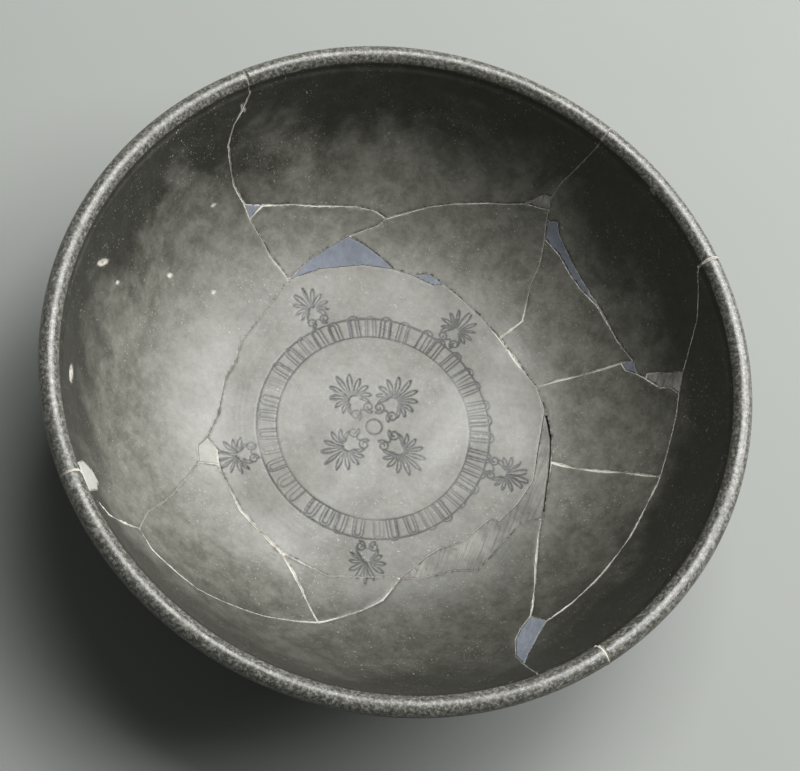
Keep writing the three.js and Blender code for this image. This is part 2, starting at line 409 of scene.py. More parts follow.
class Stamps:
    """Answers how deep the floor's pattern is at any place."""

    def __init__(self, pattern: Decoration) -> None:
        """Sorts the pattern's points for quick search."""
        self.pattern = pattern
        self.points, self.depths = pattern.grooves()
        self.tree = KDTree(len(self.points))
        for i, (x, y) in enumerate(self.points):
            self.tree.insert((x, y, 0), i)
        self.tree.balance()
        self.reach = float(np.linalg.norm(self.points, axis=1).max()) + pattern.line_half_width

    def depth(self, places: Array) -> Array:
        """Depth of the pattern under each place, worn here and there."""
        found = np.zeros(len(places))
        near = np.flatnonzero(np.hypot(places[:, 0], places[:, 1]) < self.reach)
        for i in near:
            x, y, _ = places[i]
            _, index, distance = self.tree.find((x, y, 0))
            share = 1 - distance / self.pattern.line_half_width
            if share > 0:
                wear = 0.8 + 0.6 * noise.noise(Vector((x, y, 0)) * 70)
                found[i] = self.depths[index] * min(share * 1.5, 1) * min(max(wear, 0.25), 1)
        return found


def mesh_points(mesh: Mesh) -> Array:
    """The mesh's vertex places, one row each."""
    flat = np.empty(len(mesh.vertices) * 3)
    mesh.vertices.foreach_get("co", flat)
    return flat.reshape(-1, 3)


def face_rows(mesh: Mesh, what: str) -> Array:
    """A three-number value of every face, such as its normal, one row each."""
    flat = np.empty(len(mesh.polygons) * 3)
    mesh.polygons.foreach_get(what, flat)
    return flat.reshape(-1, 3)


def put_points(mesh: Mesh, places: Array) -> None:
    """Writes vertex places back to the mesh."""
    mesh.vertices.foreach_set("co", places.ravel())
    mesh.update()


def put_attribute(mesh: Mesh, name: str, values: Array) -> None:
    """Adds one number per vertex for the material to read."""
    layer = mesh.attributes.new(name, "FLOAT", "POINT")
    layer.data.foreach_set("value", values.astype(np.float32))


def show_mesh(mesh: Mesh, name: str) -> Object:
    """Puts a mesh in the scene as a new object."""
    made = bpy.data.objects.new(name, mesh)
    bpy.context.scene.collection.objects.link(made)
    return made


def object_from(bm: bmesh.types.BMesh, name: str) -> Object:
    """Makes an object in the scene from a bmesh, which is freed."""
    mesh = bpy.data.meshes.new(name)
    bm.to_mesh(mesh)
    bm.free()
    return show_mesh(mesh, name)


def fill_open_edges(bm: bmesh.types.BMesh) -> None:
    """Closes a bmesh at its open edges."""
    bmesh.ops.holes_fill(bm, edges=[e for e in bm.edges if e.is_boundary], sides=0)


def merged_copy(nodes: list[str]) -> Object:
    """One object with copies of CAD nodes, their loose triangles merged into closed solids."""
    bm = bmesh.new()
    for node in nodes:
        bm.from_mesh(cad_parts[node].data)
    bmesh.ops.remove_doubles(bm, verts=bm.verts, dist=1e-7)
    return object_from(bm, "tool")


def worked(shape: Object, tool: Object, cut: Cut) -> Object:
    """Cuts one solid with another and removes both source objects.

    Args:
        shape: The solid that is cut.
        tool: The solid that cuts it.
        cut: What is kept.

    Returns:
        A new object with the result.
    """
    step = shape.modifiers.new("cut", "BOOLEAN")
    step.operation = cut.value
    step.solver = "MANIFOLD"
    step.object = tool
    bpy.context.view_layer.update()
    graph = bpy.context.evaluated_depsgraph_get()
    mesh = bpy.data.meshes.new_from_object(shape.evaluated_get(graph))
    name = shape.name
    for old in (shape, tool):
        bpy.data.objects.remove(old)
    mesh.name = name
    return show_mesh(mesh, name)


def spun(outline: Array, start: float, sweep: float, step: float, name: str) -> Object:
    """Spins a closed outline into a solid, all the way round or over part of a turn.

    Args:
        outline: Rows of radius and height.
        start: Where it starts, in radians.
        sweep: How far it turns, in radians.
        step: The largest step, in radians.
        name: Name of the new object.

    Returns:
        The closed solid.
    """
    bm = bmesh.new()
    ring = [bm.verts.new((r * cos(start), r * sin(start), z)) for r, z in outline]
    sides = [bm.edges.new((ring[i - 1], ring[i])) for i in range(len(ring))]
    whole = sweep > 0.999 * FULL_TURN
    bmesh.ops.spin(
        bm, geom=ring + sides, cent=(0, 0, 0), axis=(0, 0, 1), dvec=(0, 0, 0),
        angle=sweep, steps=max(3, ceil(sweep / step)), use_merge=whole, use_duplicate=False,
    )
    if not whole:
        fill_open_edges(bm)
    bmesh.ops.remove_doubles(bm, verts=bm.verts, dist=1e-8)
    bmesh.ops.recalc_face_normals(bm, faces=bm.faces)
    return object_from(bm, name)


def node_sector(node: str) -> Pair:
    """The part of a turn that a CAD node covers, as its start and sweep in radians."""
    places = mesh_points(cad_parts[node].data)
    angles = np.sort(np.arctan2(places[:, 1], places[:, 0]))
    gaps = np.diff(np.concatenate([angles, [angles[0] + FULL_TURN]]))
    widest = int(gaps.argmax())
    margin = radians(1)
    start = angles[(widest + 1) % len(angles)] - margin
    sweep = FULL_TURN - gaps[widest] + 2 * margin
    return (start, sweep) if sweep < 0.95 * FULL_TURN else (0.0, FULL_TURN)


@dataclass(frozen=True)
class Pattern:
    """The sizes of one noise pattern."""

    scale: float
    detail: float = 4
    rough: float = 0.55
    bend: float = 0


class Tree:
    """A small helper that builds one material's nodes."""

    def __init__(self, name: str) -> None:
        """Starts a material with a Principled shader."""
        self.material = bpy.data.materials.new(name)
        self.material.use_nodes = True
        self.nodes = self.material.node_tree.nodes
        self.shader = self.nodes["Principled BSDF"]
        self.object_place = self.add("ShaderNodeTexCoord").outputs["Object"]

    def add(self, kind: str, **values: object) -> bpy.types.Node:
        """Adds a node and sets its properties."""
        node = self.nodes.new(kind)
        for key, value in values.items():
            setattr(node, key, value)
        return node

    def join(self, source: Socket, target: Socket) -> None:
        """Links two sockets."""
        self.material.node_tree.links.new(source, target)

    def finish(self, name: str, source: Socket) -> None:
        """Links a socket to one of the shader's own."""
        self.join(source, self.shader.inputs[name])

    def noise(self, pattern: Pattern, place: "Socket | None" = None) -> Socket:
        """A noise pattern from 0 to 1, in object space unless it is given another place."""
        node = self.add("ShaderNodeTexNoise")
        self.join(place or self.object_place, node.inputs["Vector"])
        sizes = (pattern.scale, pattern.detail, pattern.rough, pattern.bend)
        for key, value in zip(("Scale", "Detail", "Roughness", "Distortion"), sizes):
            node.inputs[key].default_value = value
        return node.outputs["Fac"]

    def ramp(self, value: Socket, low: float, high: float, to: Pair = (0, 1)) -> Socket:
        """Maps a value smoothly, and clamped, to two others.

        Args:
            value: The value.
            low: Where the first of the two is reached.
            high: Where the second is reached.
            to: The two values.

        Returns:
            The mapped value.
        """
        node = self.add("ShaderNodeMapRange", interpolation_type="SMOOTHSTEP", clamp=True)
        self.join(value, node.inputs["Value"])
        for key, number in (("From Min", low), ("From Max", high), ("To Min", to[0]), ("To Max", to[1])):
            node.inputs[key].default_value = number
        return node.outputs["Result"]

    def sum(self, kind: str, a: Socket, b: "Socket | float") -> Socket:
        """One sum of the named kind on two values."""
        node = self.add("ShaderNodeMath", operation=kind)
        self.join(a, node.inputs[0])
        if isinstance(b, float):
            node.inputs[1].default_value = b
        else:
            self.join(b, node.inputs[1])
        return node.outputs[0]

    def along(self, direction: Colour) -> Socket:
        """How far a place is along a direction from the origin."""
        node = self.add("ShaderNodeVectorMath", operation="DOT_PRODUCT")
        self.join(self.object_place, node.inputs[0])
        node.inputs[1].default_value = direction
        return node.outputs["Value"]

    def radius(self) -> Socket:
        """Distance from the bowl's axis."""
        flat = self.add("ShaderNodeVectorMath", operation="MULTIPLY")
        self.join(self.object_place, flat.inputs[0])
        flat.inputs[1].default_value = (1, 1, 0)
        length = self.add("ShaderNodeVectorMath", operation="LENGTH")
        self.join(flat.outputs[0], length.inputs[0])
        return length.outputs["Value"]

    def attribute(self, name: str) -> Socket:
        """A number that the mesh holds at each vertex."""
        return self.add("ShaderNodeAttribute", attribute_name=name).outputs["Fac"]

    def mix(self, share: Socket, a: "Socket | Colour", b: "Socket | Colour") -> Socket:
        """Blends two colours by a share."""
        node = self.add("ShaderNodeMix", data_type="RGBA")
        self.join(share, node.inputs["Factor"])
        for name, colour in (("A", a), ("B", b)):
            target = next(s for s in node.inputs if s.name == name and s.type == "RGBA")
            if isinstance(colour, tuple):
                target.default_value = (*colour, 1)
            else:
                self.join(colour, target)
        return next(s for s in node.outputs if s.type == "RGBA")

    def bump(self, height: Socket, strength: float, depth: float, under: "Socket | None" = None) -> Socket:
        """A bump on top of another, if there is one.

        Args:
            height: The relief, from 0 to 1.
            strength: How much of it shows.
            depth: Its real depth.
            under: The bump below it.

        Returns:
            The bent normal.
        """
        node = self.add("ShaderNodeBump")
        node.inputs["Strength"].default_value = strength
        node.inputs["Distance"].default_value = depth
        self.join(height, node.inputs["Height"])
        if under is not None:
            self.join(under, node.inputs["Normal"])
        return node.outputs["Normal"]


@dataclass(frozen=True)
class GlazeFinish:
    """Worn black glaze, fused on, with chipped edges and wheel marks."""

    name: str = "worn_black_glaze"
    dark: Colour = (0.010, 0.010, 0.007)
    brown: Colour = (0.062, 0.061, 0.049)
    worn: Colour = (0.145, 0.143, 0.122)
    # Pale dust for the specks, also used as a painted highlight on the lip's top.
    dust_and_lip_highlight: Colour = (0.42, 0.415, 0.37)
    clay: Colour = (0.50, 0.48, 0.42)
    # Painted shade: near black for the stamped grooves, darker than the unworn glaze.
    groove: Colour = (0.006, 0.006, 0.005)
    # Painted shade: the direction, and the span along it, over which the glaze is darkened towards the front
    # and right.
    painted_shade_side: Colour = (0.6, -0.8, 0)
    painted_shade_span: Pair = (22 * MM, 80 * MM)
    wear_span: Pair = (26 * MM, 56 * MM)
    wear_drift: Pair = (12 * MM, -14 * MM)
    # Heights of the lip's top, which is made paler, partly rim wear and partly painted highlight, and also
    # glossier.
    lip_span: Pair = (67.5 * MM, 69 * MM)
    gloss: float = 0.33
    matt: float = 0.56
    chip_width: float = 0.42
    cloud: Pattern = Pattern(26, 7, 0.62, 0.4)
    mottle: Pattern = Pattern(150, 6, 0.65)
    grain: Pattern = Pattern(520, 8, 0.8)
    speck: Pattern = Pattern(1500, 3, 0.6)
    patch: Pattern = Pattern(60, 5, 0.7, 1.2)
    lip_grain: Pattern = Pattern(900, 7, 0.8)
    ragged: Pattern = Pattern(420, 4, 0.7)
    flakes: Pattern = Pattern(800, 5, 0.75)
    wheel: Pattern = Pattern(620, 3, 0.5)

    def wear(self, tree: Tree, cloud: Socket) -> Socket:
        """How worn the glaze is: most on the floor and the back wall, least under the lip; towards the front
        and right it is cut back as painted shade, which darkens the glaze there.
        """
        level = tree.sum("ADD", tree.along((0, 0, 1)), tree.ramp(cloud, 0.3, 0.7, self.wear_drift))
        low_wall = tree.ramp(level, *self.wear_span, (1, 0.1))
        # Painted shade: less wear, so darker glaze, on the front and right of the bowl.
        painted_shade = tree.ramp(tree.along(self.painted_shade_side), *self.painted_shade_span, (1, 0.3))
        return tree.sum("MULTIPLY", low_wall, painted_shade)

    def bare_clay(self, tree: Tree) -> Socket:
        """Where the clay shows, along chipped joints and in flaked marks."""
        ragged = tree.sum("MULTIPLY", tree.noise(self.ragged), 2.0)
        shows = tree.sum("MULTIPLY", tree.attribute("shows"), ragged)
        near = tree.sum("DIVIDE", tree.attribute("break_distance"), tree.sum("ADD", shows, 0.02))
        chipped = tree.ramp(near, self.chip_width * 0.6, self.chip_width, (0.85, 0))
        flaked = tree.sum("MULTIPLY", tree.attribute("bare"), tree.ramp(tree.noise(self.flakes), 0.34, 0.5))
        return tree.sum("MAXIMUM", chipped, tree.sum("MULTIPLY", flaked, 0.8))

    def build(self) -> bpy.types.Material:
        """Makes the material."""
        tree = Tree(self.name)
        cloud = tree.noise(self.cloud)
        mottle = tree.noise(self.mottle)
        speck = tree.noise(self.speck)
        # This wear mask also holds the painted shade on the front and right, which the body colours below
        # carry.
        wear = self.wear(tree, cloud)
        body = tree.mix(wear, self.dark, self.brown)
        coarse = tree.ramp(mottle, 0.36, 0.66, (0, 0.5))
        fine = tree.ramp(tree.noise(self.grain), 0.3, 0.7, (0, 0.5))
        body = tree.mix(tree.sum("MULTIPLY", wear, tree.sum("ADD", coarse, fine)), body, self.worn)
        dusty = tree.ramp(tree.noise(self.patch), 0.4, 0.66)
        body = tree.mix(tree.sum("MULTIPLY", tree.ramp(speck, 0.61, 0.74, (0, 0.8)), dusty), body, self.dust_and_lip_highlight)
        # Painted highlight, partly rim wear: the lip's top is mixed towards the pale dust colour.
        lip = tree.ramp(tree.along((0, 0, 1)), *self.lip_span)
        lip_dust_and_highlight = tree.ramp(tree.noise(self.lip_grain), 0.42, 0.68, (0.04, 0.5))
        body = tree.mix(tree.sum("MULTIPLY", lip, lip_dust_and_highlight), body, self.dust_and_lip_highlight)
        # Painted shade: the stamped grooves are darkened to near black.
        body = tree.mix(tree.ramp(tree.attribute("stamp"), 0.08, 0.55, (0, 0.95)), body, self.groove)
        bare = self.bare_clay(tree)
        tree.finish("Base Color", tree.mix(bare, body, self.clay))
        shine = tree.ramp(cloud, 0.3, 0.72, (self.gloss, self.matt))
        shine = tree.sum("ADD", shine, tree.ramp(mottle, 0.4, 0.8, (0, 0.12)))
        shine = tree.sum("SUBTRACT", shine, tree.ramp(lip, 0, 1, (0, 0.1)))
        tree.finish("Roughness", tree.sum("MAXIMUM", shine, tree.ramp(bare, 0, 1, (0, 0.8))))
        turned = tree.add("ShaderNodeCombineXYZ")
        tree.join(tree.radius(), turned.inputs["X"])
        relief = tree.bump(tree.noise(self.wheel, turned.outputs[0]), 0.35, 0.12 * MM)
        relief = tree.bump(mottle, 0.4, 0.16 * MM, relief)
        relief = tree.bump(speck, 0.3, 0.05 * MM, relief)
        tree.finish("Normal", relief)
        return tree.material


@dataclass(frozen=True)
class PlasterFinish:
    """Plaster or glue, smoothed with a blade or left rough."""

    name: str
    pale: Colour
    deep: Colour
    grain: float
    pits: float
    tooling: float = 0.2
    dirt: "Colour | None" = None
    tool_turn: float = radians(35)
    tool_scale: Colour = (900, 90, 200)

    def tool_marks(self, tree: Tree) -> Socket:
        """Long parallel marks of the blade that spread the plaster."""
        stretched = tree.add("ShaderNodeMapping")
        stretched.inputs["Rotation"].default_value = (0, 0, self.tool_turn)
        stretched.inputs["Scale"].default_value = self.tool_scale
        tree.join(tree.object_place, stretched.inputs["Vector"])
        return tree.noise(Pattern(1, 2, 0.5), stretched.outputs[0])

    def build(self) -> bpy.types.Material:
        """Makes the material."""
        tree = Tree(self.name)
        cloud = tree.noise(Pattern(70, 6, 0.6, 0.3))
        grain = tree.noise(Pattern(self.grain, 5, 0.7))
        body = tree.mix(tree.ramp(cloud, 0.3, 0.72), self.deep, self.pale)
        body = tree.mix(tree.ramp(grain, 0.24, 0.42, (self.pits, 0)), body, shaded(self.deep, 0.35))
        if self.dirt is not None:
            patchy = tree.sum("MULTIPLY", tree.attribute("shows"), tree.ramp(cloud, 0.2, 0.6, (0.4, 1.3)))
            body = tree.mix(patchy, self.dirt, body)
        tree.finish("Base Color", body)
        tree.finish("Roughness", tree.ramp(grain, 0.2, 0.8, (0.95, 0.72)))
        relief = tree.bump(grain, 0.6, 0.35 * MM)
        tree.finish("Normal", tree.bump(self.tool_marks(tree), self.tooling, 0.7 * MM, relief))
        return tree.material


@dataclass(frozen=True)
class ClayFinish:
    """Bare fired clay on the face that the bowl stands on, with glaze above it."""

    name: str = "foot_clay_and_glaze"
    clay: Colour = (0.34, 0.27, 0.20)
    glaze: Colour = (0.014, 0.014, 0.011)
    line: float = 0.5 * MM
    waver: float = 0.3 * MM

    def build(self) -> bpy.types.Material:
        """Makes the material."""
        tree = Tree(self.name)
        drift = tree.ramp(tree.noise(Pattern(120)), 0.2, 0.8, (-self.waver, self.waver))
        level = tree.sum("ADD", tree.along((0, 0, 1)), drift)
        glazed = tree.ramp(level, self.line * 0.7, self.line * 1.3)
        grit = tree.noise(Pattern(700, 4, 0.7))
        clay = tree.mix(tree.ramp(grit, 0.3, 0.7), shaded(self.clay, 0.7), self.clay)
        tree.finish("Base Color", tree.mix(glazed, clay, self.glaze))
        tree.finish("Roughness", tree.ramp(glazed, 0, 1, (0.85, 0.3)))
        tree.finish("Normal", tree.bump(grit, 0.4, 0.12 * MM))
        return tree.material


@dataclass(frozen=True)
class Mark:
    """A small place where the glaze has flaked off, on the inside face."""

    turn: float
    reach: float
    length: float
    width: float
    lean: float = 0.0
    depth: float = 0.25 * MM

    def share(self, places: Array, spot: Vector) -> Array:
        """How deep in the mark each place is, from 1 in its middle to 0 at its edge."""
        out = Vector((spot.x, spot.y, 0)).normalized()
        side = Vector((-out.y, out.x, 0))
        lean = radians(self.lean)
        uphill = out * 0.6 + Vector((0, 0, 0.8))
        along = side * cos(lean) + uphill * sin(lean)
        away = places - np.array(spot)
        ahead = away @ np.array(along.normalized())
        aside = np.sqrt(np.maximum((away**2).sum(1) - ahead**2, 0))
        return 1 - np.hypot(ahead / (self.length / 2), aside / (self.width / 2))


MARKS = tuple(
    Mark(turn, reach, length * MM, width * MM, lean)
    for turn, reach, length, width, lean in (
        (182, 180, 8, 2.6, 50),
        (205.5, 187, 7, 3.2, 10),
        (141.6, 189.5, 5, 1.6, 80),
        (153, 151, 2.4, 1.5, 0),
        (171, 141, 2.6, 1.8, 45),
        (165, 120, 2.0, 1.3, 0),
        (182, 165, 2.2, 1.4, 30),
        (60, 199, 3, 2, 0),
    )
)


@dataclass(frozen=True)
class Stretch:
    """A length of joint whose glue and chipped edges show pale."""

    turn: float
    reach: float
    size: float
    strength: float


STRETCHES = tuple(
    Stretch(turn, reach, size * MM, strength)
    for turn, reach, size, strength in (
        (231, 189, 4, 1.3), (232, 172, 5, 1.3), (240, 166, 5, 1.2), (245, 155, 5, 0.7),
        (10, 110, 4, 1.2), (10, 128, 6, 1.1), (8, 148, 6, 0.9), (4, 158, 4, 0.9),
        (356, 154, 7, 0.7), (342, 153, 8, 0.9), (331, 150, 6, 0.8), (339, 119, 9, 0.75),
        (328, 135, 5, 0.8), (50, 98, 5, 1.1), (59, 97, 4, 0.7), (217, 101, 5, 0.8),
        (239, 99, 9, 0.65), (254, 101, 5, 0.9), (264, 106, 5, 1.0), (269, 112, 4, 0.8),
        (29, 153, 7, 0.7), (38, 113, 7, 0.6), (36, 135, 7, 0.75), (142, 189, 6, 0.6),
        (145, 171, 8, 0.5), (147, 146, 8, 0.75), (142, 112, 7, 0.6), (142, 139, 4, 0.9),
        (128, 131, 9, 0.45), (106, 126, 9, 0.4), (90, 140, 9, 0.45), (276, 126, 9, 0.6),
        (294, 107, 8, 0.45), (224.5, 208, 5, 1.0), (325, 208, 6, 1.1), (44, 208, 6, 1.0),
        (50, 142, 8, 0.7), (60, 108, 8, 0.6),
    )
)


class Showing:
    """Answers how pale the joints are at any place."""

    def __init__(self, section: Section, faint: float = 0.14) -> None:
        """Finds where the pale stretches lie."""
        self.faint = faint
        self.spots = [(np.array(section.place(s.turn, s.reach)), s.size, s.strength) for s in STRETCHES]

    def at(self, places: Array) -> Array:
        """How pale each place is, from the faint joints' value upwards."""
        found = np.full(len(places), self.faint)
        for spot, size, strength in self.spots:
            away = ((places - spot) ** 2).sum(1) / size**2
            found = np.maximum(found, strength * np.exp(-away))
        return found


@dataclass
class Breakage:
    """Works out where a fine piece's faces meet its broken sides, and chips that edge."""

    centre: Vector
    lip_start: float
    showing: Showing
    chip_depth: float = 0.34 * MM
    chip_reach: float = 0.8 * MM
    far: float = 9 * MM

    def inward(self, place: Vector) -> Array:
        """The way into the wall at a place, straight away from the break centre."""
        return np.array((place - self.centre).normalized())

    def face_kinds(self, mesh: Mesh) -> tuple[Array, Array]:
        """Tells the broken faces, and the glazed ones that look inwards or up, from the rest.

        Args:
            mesh: The piece's mesh.

        Returns:
            Two lists of yes or no, one entry for each face.
        """
        normals = face_rows(mesh, "normal")
        centres = face_rows(mesh, "center")
        rays = centres - np.array(self.centre)
        rays /= np.linalg.norm(rays, axis=1)[:, None]
        facing = np.einsum("ij,ij->i", normals, rays)
        radius = np.hypot(centres[:, 0], centres[:, 1])
        around = np.abs(normals[:, 1] * centres[:, 0] - normals[:, 0] * centres[:, 1])
        around /= np.maximum(radius, MM)
        on_lip = radius > self.lip_start
        broken = np.where(on_lip, around > 0.75, np.abs(facing) < 0.1)
        inner = ~broken & ((facing < 0) | (on_lip & (normals[:, 2] > 0)))
        return broken, inner

    def touched(self, mesh: Mesh, faces: Array) -> Array:
        """Which vertices the chosen faces touch."""
        totals = np.empty(len(mesh.polygons), int)
        mesh.polygons.foreach_get("loop_total", totals)
        corners = np.empty(len(mesh.loops), int)
        mesh.loops.foreach_get("vertex_index", corners)
        found = np.zeros(len(mesh.vertices), bool)
        found[corners[np.repeat(faces, totals)]] = True
        return found

    def chip(self, mesh: Mesh) -> None:
        """Pushes the inside face in near its broken edges, and stores each vertex's distance from them."""
        places = mesh_points(mesh)
        broken, inner = (self.touched(mesh, faces) for faces in self.face_kinds(mesh))
        edge = np.flatnonzero(broken & inner)
        distance = np.full(len(places), self.far)
        if len(edge):
            tree = KDTree(len(edge))
            for order, i in enumerate(edge):
                tree.insert(places[i], order)
            tree.balance()
            for i in np.flatnonzero(inner | broken):
                distance[i] = min(self.far, tree.find(places[i])[2])
        shows = self.showing.at(places)
        for i in np.flatnonzero(inner & (distance < self.chip_reach)):
            place = Vector(places[i])
            rough = 0.5 + noise.noise(place * 900) + 0.6 * noise.noise(place * 240)
            share = (1 - distance[i] / self.chip_reach) ** 2
            push = self.chip_depth * max(rough, 0.05) * share * min(0.35 + shows[i], 1.3)
            places[i] += self.inward(place) * push
        put_points(mesh, places)
        put_attribute(mesh, "break_distance", distance / MM)
        put_attribute(mesh, "shows", shows)


@dataclass
class Mend:
    """The bowl's sherds, its fills and the glue between them."""

    section: Section
    stamps: Stamps
    breakage: Breakage
    finishes: dict[Slot, bpy.types.Material]
    smooth_plaster: bpy.types.Material
    floor_node: str = "floor_sherd"
    grey_fills: tuple[str, ...] = (
        "crescent_fill", "lens_fill", "wedge_fill", "right_patch_fill", "front_wedge_fill", "back_left_fill",
    )
    smooth_fills: tuple[str, ...] = ("left_rim_fill", "left_patch_fill")
    turn_step: float = radians(0.4)
    glue_turn_step: float = radians(1)
    floor_cell: float = 0.36 * MM
    floor_margin: float = 2 * MM
    floor_band: float = 0.35 * MM
    full_stamp: float = 0.2 * MM
    pale_sink: float = 0.25 * MM
    grey_sink: float = 0.16 * MM
    sharp_edge: float = radians(38)
    glue_sunk: float = 0.16 * MM
    slit_room: Vector = Vector((4.6 * MM, 34 * MM, 30 * MM))
    slit_middle: Vector = Vector((55.2 * MM, 9.8 * MM, 15 * MM))
    slit_turn: float = radians(17.5)

    def slot_of(self, node: str) -> Slot:
        """The record's slot that a CAD node takes its finish from."""
        if not node.endswith("_fill"):
            return Slot.GLAZE
        return Slot.GREY if node in self.grey_fills else Slot.PALE

    def floor_slab(self, node: str) -> Object:
        """A slab with a fine square grid on top, to cut the floor piece from."""
        low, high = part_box(node)
        middle = (low + high) / 2
        width = high.x - low.x + 2 * self.floor_margin
        depth = high.y - low.y + 2 * self.floor_margin
        cells = [ceil(side / self.floor_cell) for side in (width, depth)]
        bm = bmesh.new()
        bmesh.ops.create_grid(bm, x_segments=cells[0], y_segments=cells[1], size=0.5)
        bmesh.ops.scale(bm, vec=(width, depth, 1), verts=bm.verts)
        bmesh.ops.translate(bm, vec=(middle.x, middle.y, 0), verts=bm.verts)
        places = np.array([v.co for v in bm.verts])
        heights = self.section.floor_height(np.hypot(places[:, 0], places[:, 1]))
        for vert, height in zip(bm.verts, heights):
            vert.co.z = height
        border = [e for e in bm.edges if e.is_boundary]
        skirt = bmesh.ops.extrude_edge_only(bm, edges=border)["geom"]
        for vert in (v for v in skirt if isinstance(v, bmesh.types.BMVert)):
            vert.co.z = low.z + self.section.inner_skin
        fill_open_edges(bm)
        bmesh.ops.recalc_face_normals(bm, faces=bm.faces)
        return object_from(bm, node)

    def blank(self, node: str) -> Object:
        """The fine solid that a piece is cut from: a slab for the floor, part of the shell for the rest."""
        if node == self.floor_node:
            return self.floor_slab(node)
        start, sweep = node_sector(node)
        return spun(self.section.outline(), start, sweep, self.turn_step, node)

    def stamp(self, mesh: Mesh) -> None:
        """Presses the pattern into the floor."""
        places = mesh_points(mesh)
        radius = np.hypot(places[:, 0], places[:, 1])
        top = np.abs(places[:, 2] - self.section.floor_height(radius)) < self.floor_band
        off_the_pattern = 1.0
        depth = np.where(top, self.stamps.depth(np.where(top[:, None], places, off_the_pattern)), 0)
        places[:, 2] -= depth
        put_points(mesh, places)
        put_attribute(mesh, "stamp", depth / self.full_stamp)

    def flake(self, mesh: Mesh) -> None:
        """Sinks the flaked marks into the inside face."""
        places = mesh_points(mesh)
        bare = np.zeros(len(places))
        for mark in MARKS:
            share = mark.share(places, self.section.place(mark.turn, mark.reach))
            hit = np.flatnonzero(share > 0)
            for i in hit:
                places[i] += self.breakage.inward(Vector(places[i])) * mark.depth * min(share[i] * 2, 1)
            bare[hit] = np.clip(share[hit] * 3, 0, 1)
        put_points(mesh, places)
        put_attribute(mesh, "bare", bare)

    def smear(self, mesh: Mesh, amount: float) -> None:
        """Gives a plaster fill its hand-smoothed, slightly sunken face."""
        places = mesh_points(mesh)
        for i, place in enumerate(places):
            here = Vector(place)
            swell = 0.55 + 0.6 * noise.noise(here * 130) + 0.4 * noise.noise(here * 420)
            places[i] += self.breakage.inward(here) * amount * max(swell, 0)
        put_points(mesh, places)

    def piece(self, node: str) -> None:
        """Cuts one sherd or fill, dresses it and puts it in its CAD node's place."""
        slot = self.slot_of(node)
        made = worked(self.blank(node), merged_copy([node]), Cut.KEEP_SHARED)
        if slot is Slot.GLAZE:
            self.stamp(made.data)
            self.flake(made.data)
            self.breakage.chip(made.data)
        else:
            self.smear(made.data, self.pale_sink if slot is Slot.PALE else self.grey_sink)
        made.name = f"{node}_{'glazed' if slot is Slot.GLAZE else 'smoothed'}"
        finish = self.smooth_plaster if node in self.smooth_fills else self.finishes[slot]
        made.data.materials.clear()
        made.data.materials.append(finish)
        made.data.shade_smooth()
        made.data.set_sharp_from_angle(angle=self.sharp_edge)
        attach(made, BODY)
        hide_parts(node)
        log.info("%s: %d faces", made.name, len(made.data.polygons))

    def slit_cutter(self) -> Object:
        """A block round the joint that was left open."""
        bm = bmesh.new()
        bmesh.ops.create_cube(bm, size=1)
        bmesh.ops.scale(bm, vec=self.slit_room, verts=bm.verts)
        turned = Matrix.Rotation(self.slit_turn, 3, "Z")
        bmesh.ops.rotate(bm, cent=(0, 0, 0), matrix=turned, verts=bm.verts)
        bmesh.ops.translate(bm, vec=self.slit_middle, verts=bm.verts)
        return object_from(bm, "slit_room")

    def glue(self, nodes: list[str], finish: bpy.types.Material) -> None:
        """Fills every joint but the open one with glue, to just under the surface.

        Args:
            nodes: The CAD nodes between which the joints lie.
            finish: The glue's material.
        """
        section = self.section.outline(self.glue_sunk)
        shell = spun(section, 0, FULL_TURN, self.glue_turn_step, "glue_in_the_joints")
        glue = worked(shell, merged_copy(nodes), Cut.TAKE_AWAY)
        glue = worked(glue, self.slit_cutter(), Cut.TAKE_AWAY)
        put_attribute(glue.data, "shows", self.breakage.showing.at(mesh_points(glue.data)))
        glue.data.materials.clear()
        glue.data.materials.append(finish)
        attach(glue, BODY)
        log.info("%s: %d faces", glue.name, len(glue.data.polygons))


@dataclass
class Foot:
    """The turned foot ring, with its rounded outside and a flat face to stand on."""

    finish: bpy.types.Material
    node: str = "foot_ring"
    wall: float = 7 * MM
    bulge: float = 1.2 * MM
    skin: float = 0.03 * MM
    taper: float = 0.4 * MM
    hollow: float = 0.9 * MM
    rest: float = 5 * MM
    rest_inset: float = 1.6 * MM
    edge: float = 0.5 * MM
    turn_step: float = radians(0.8)
    sharp_edge: float = radians(50)

    def outline(self) -> Array:
        """The ring's closed section, inside its CAD node's box."""
        low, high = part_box(self.node)
        outer = high.x - self.bulge
        inner = outer - self.wall
        base = low.z + self.edge
        height = high.z - base
        rise = np.linspace(0, 1, 18)
        swell = (self.bulge - self.skin) * np.sin(pi * rise) ** 0.8
        outside = np.stack([outer + swell - self.taper * (1 - rise), base + height * rise], 1)
        fall = np.linspace(1, 0, 14)
        inside = np.stack([inner + self.hollow * np.sin(pi * fall), base + height * fall], 1)
        rest_start = inner + self.rest_inset
        stand = np.array([[rest_start, low.z], [rest_start + self.rest, low.z]])
        return np.vstack([stand, outside, inside])

    def build(self) -> None:
        """Spins the ring and puts it in its CAD node's place."""
        ring = spun(self.outline(), 0, FULL_TURN, self.turn_step, "turned_foot_ring")
        ring.data.materials.append(self.finish)
        ring.data.shade_smooth()
        ring.data.set_sharp_from_angle(angle=self.sharp_edge)
        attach(ring, BODY)
        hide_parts(self.node)
        log.info("%s: %d faces", ring.name, len(ring.data.polygons))


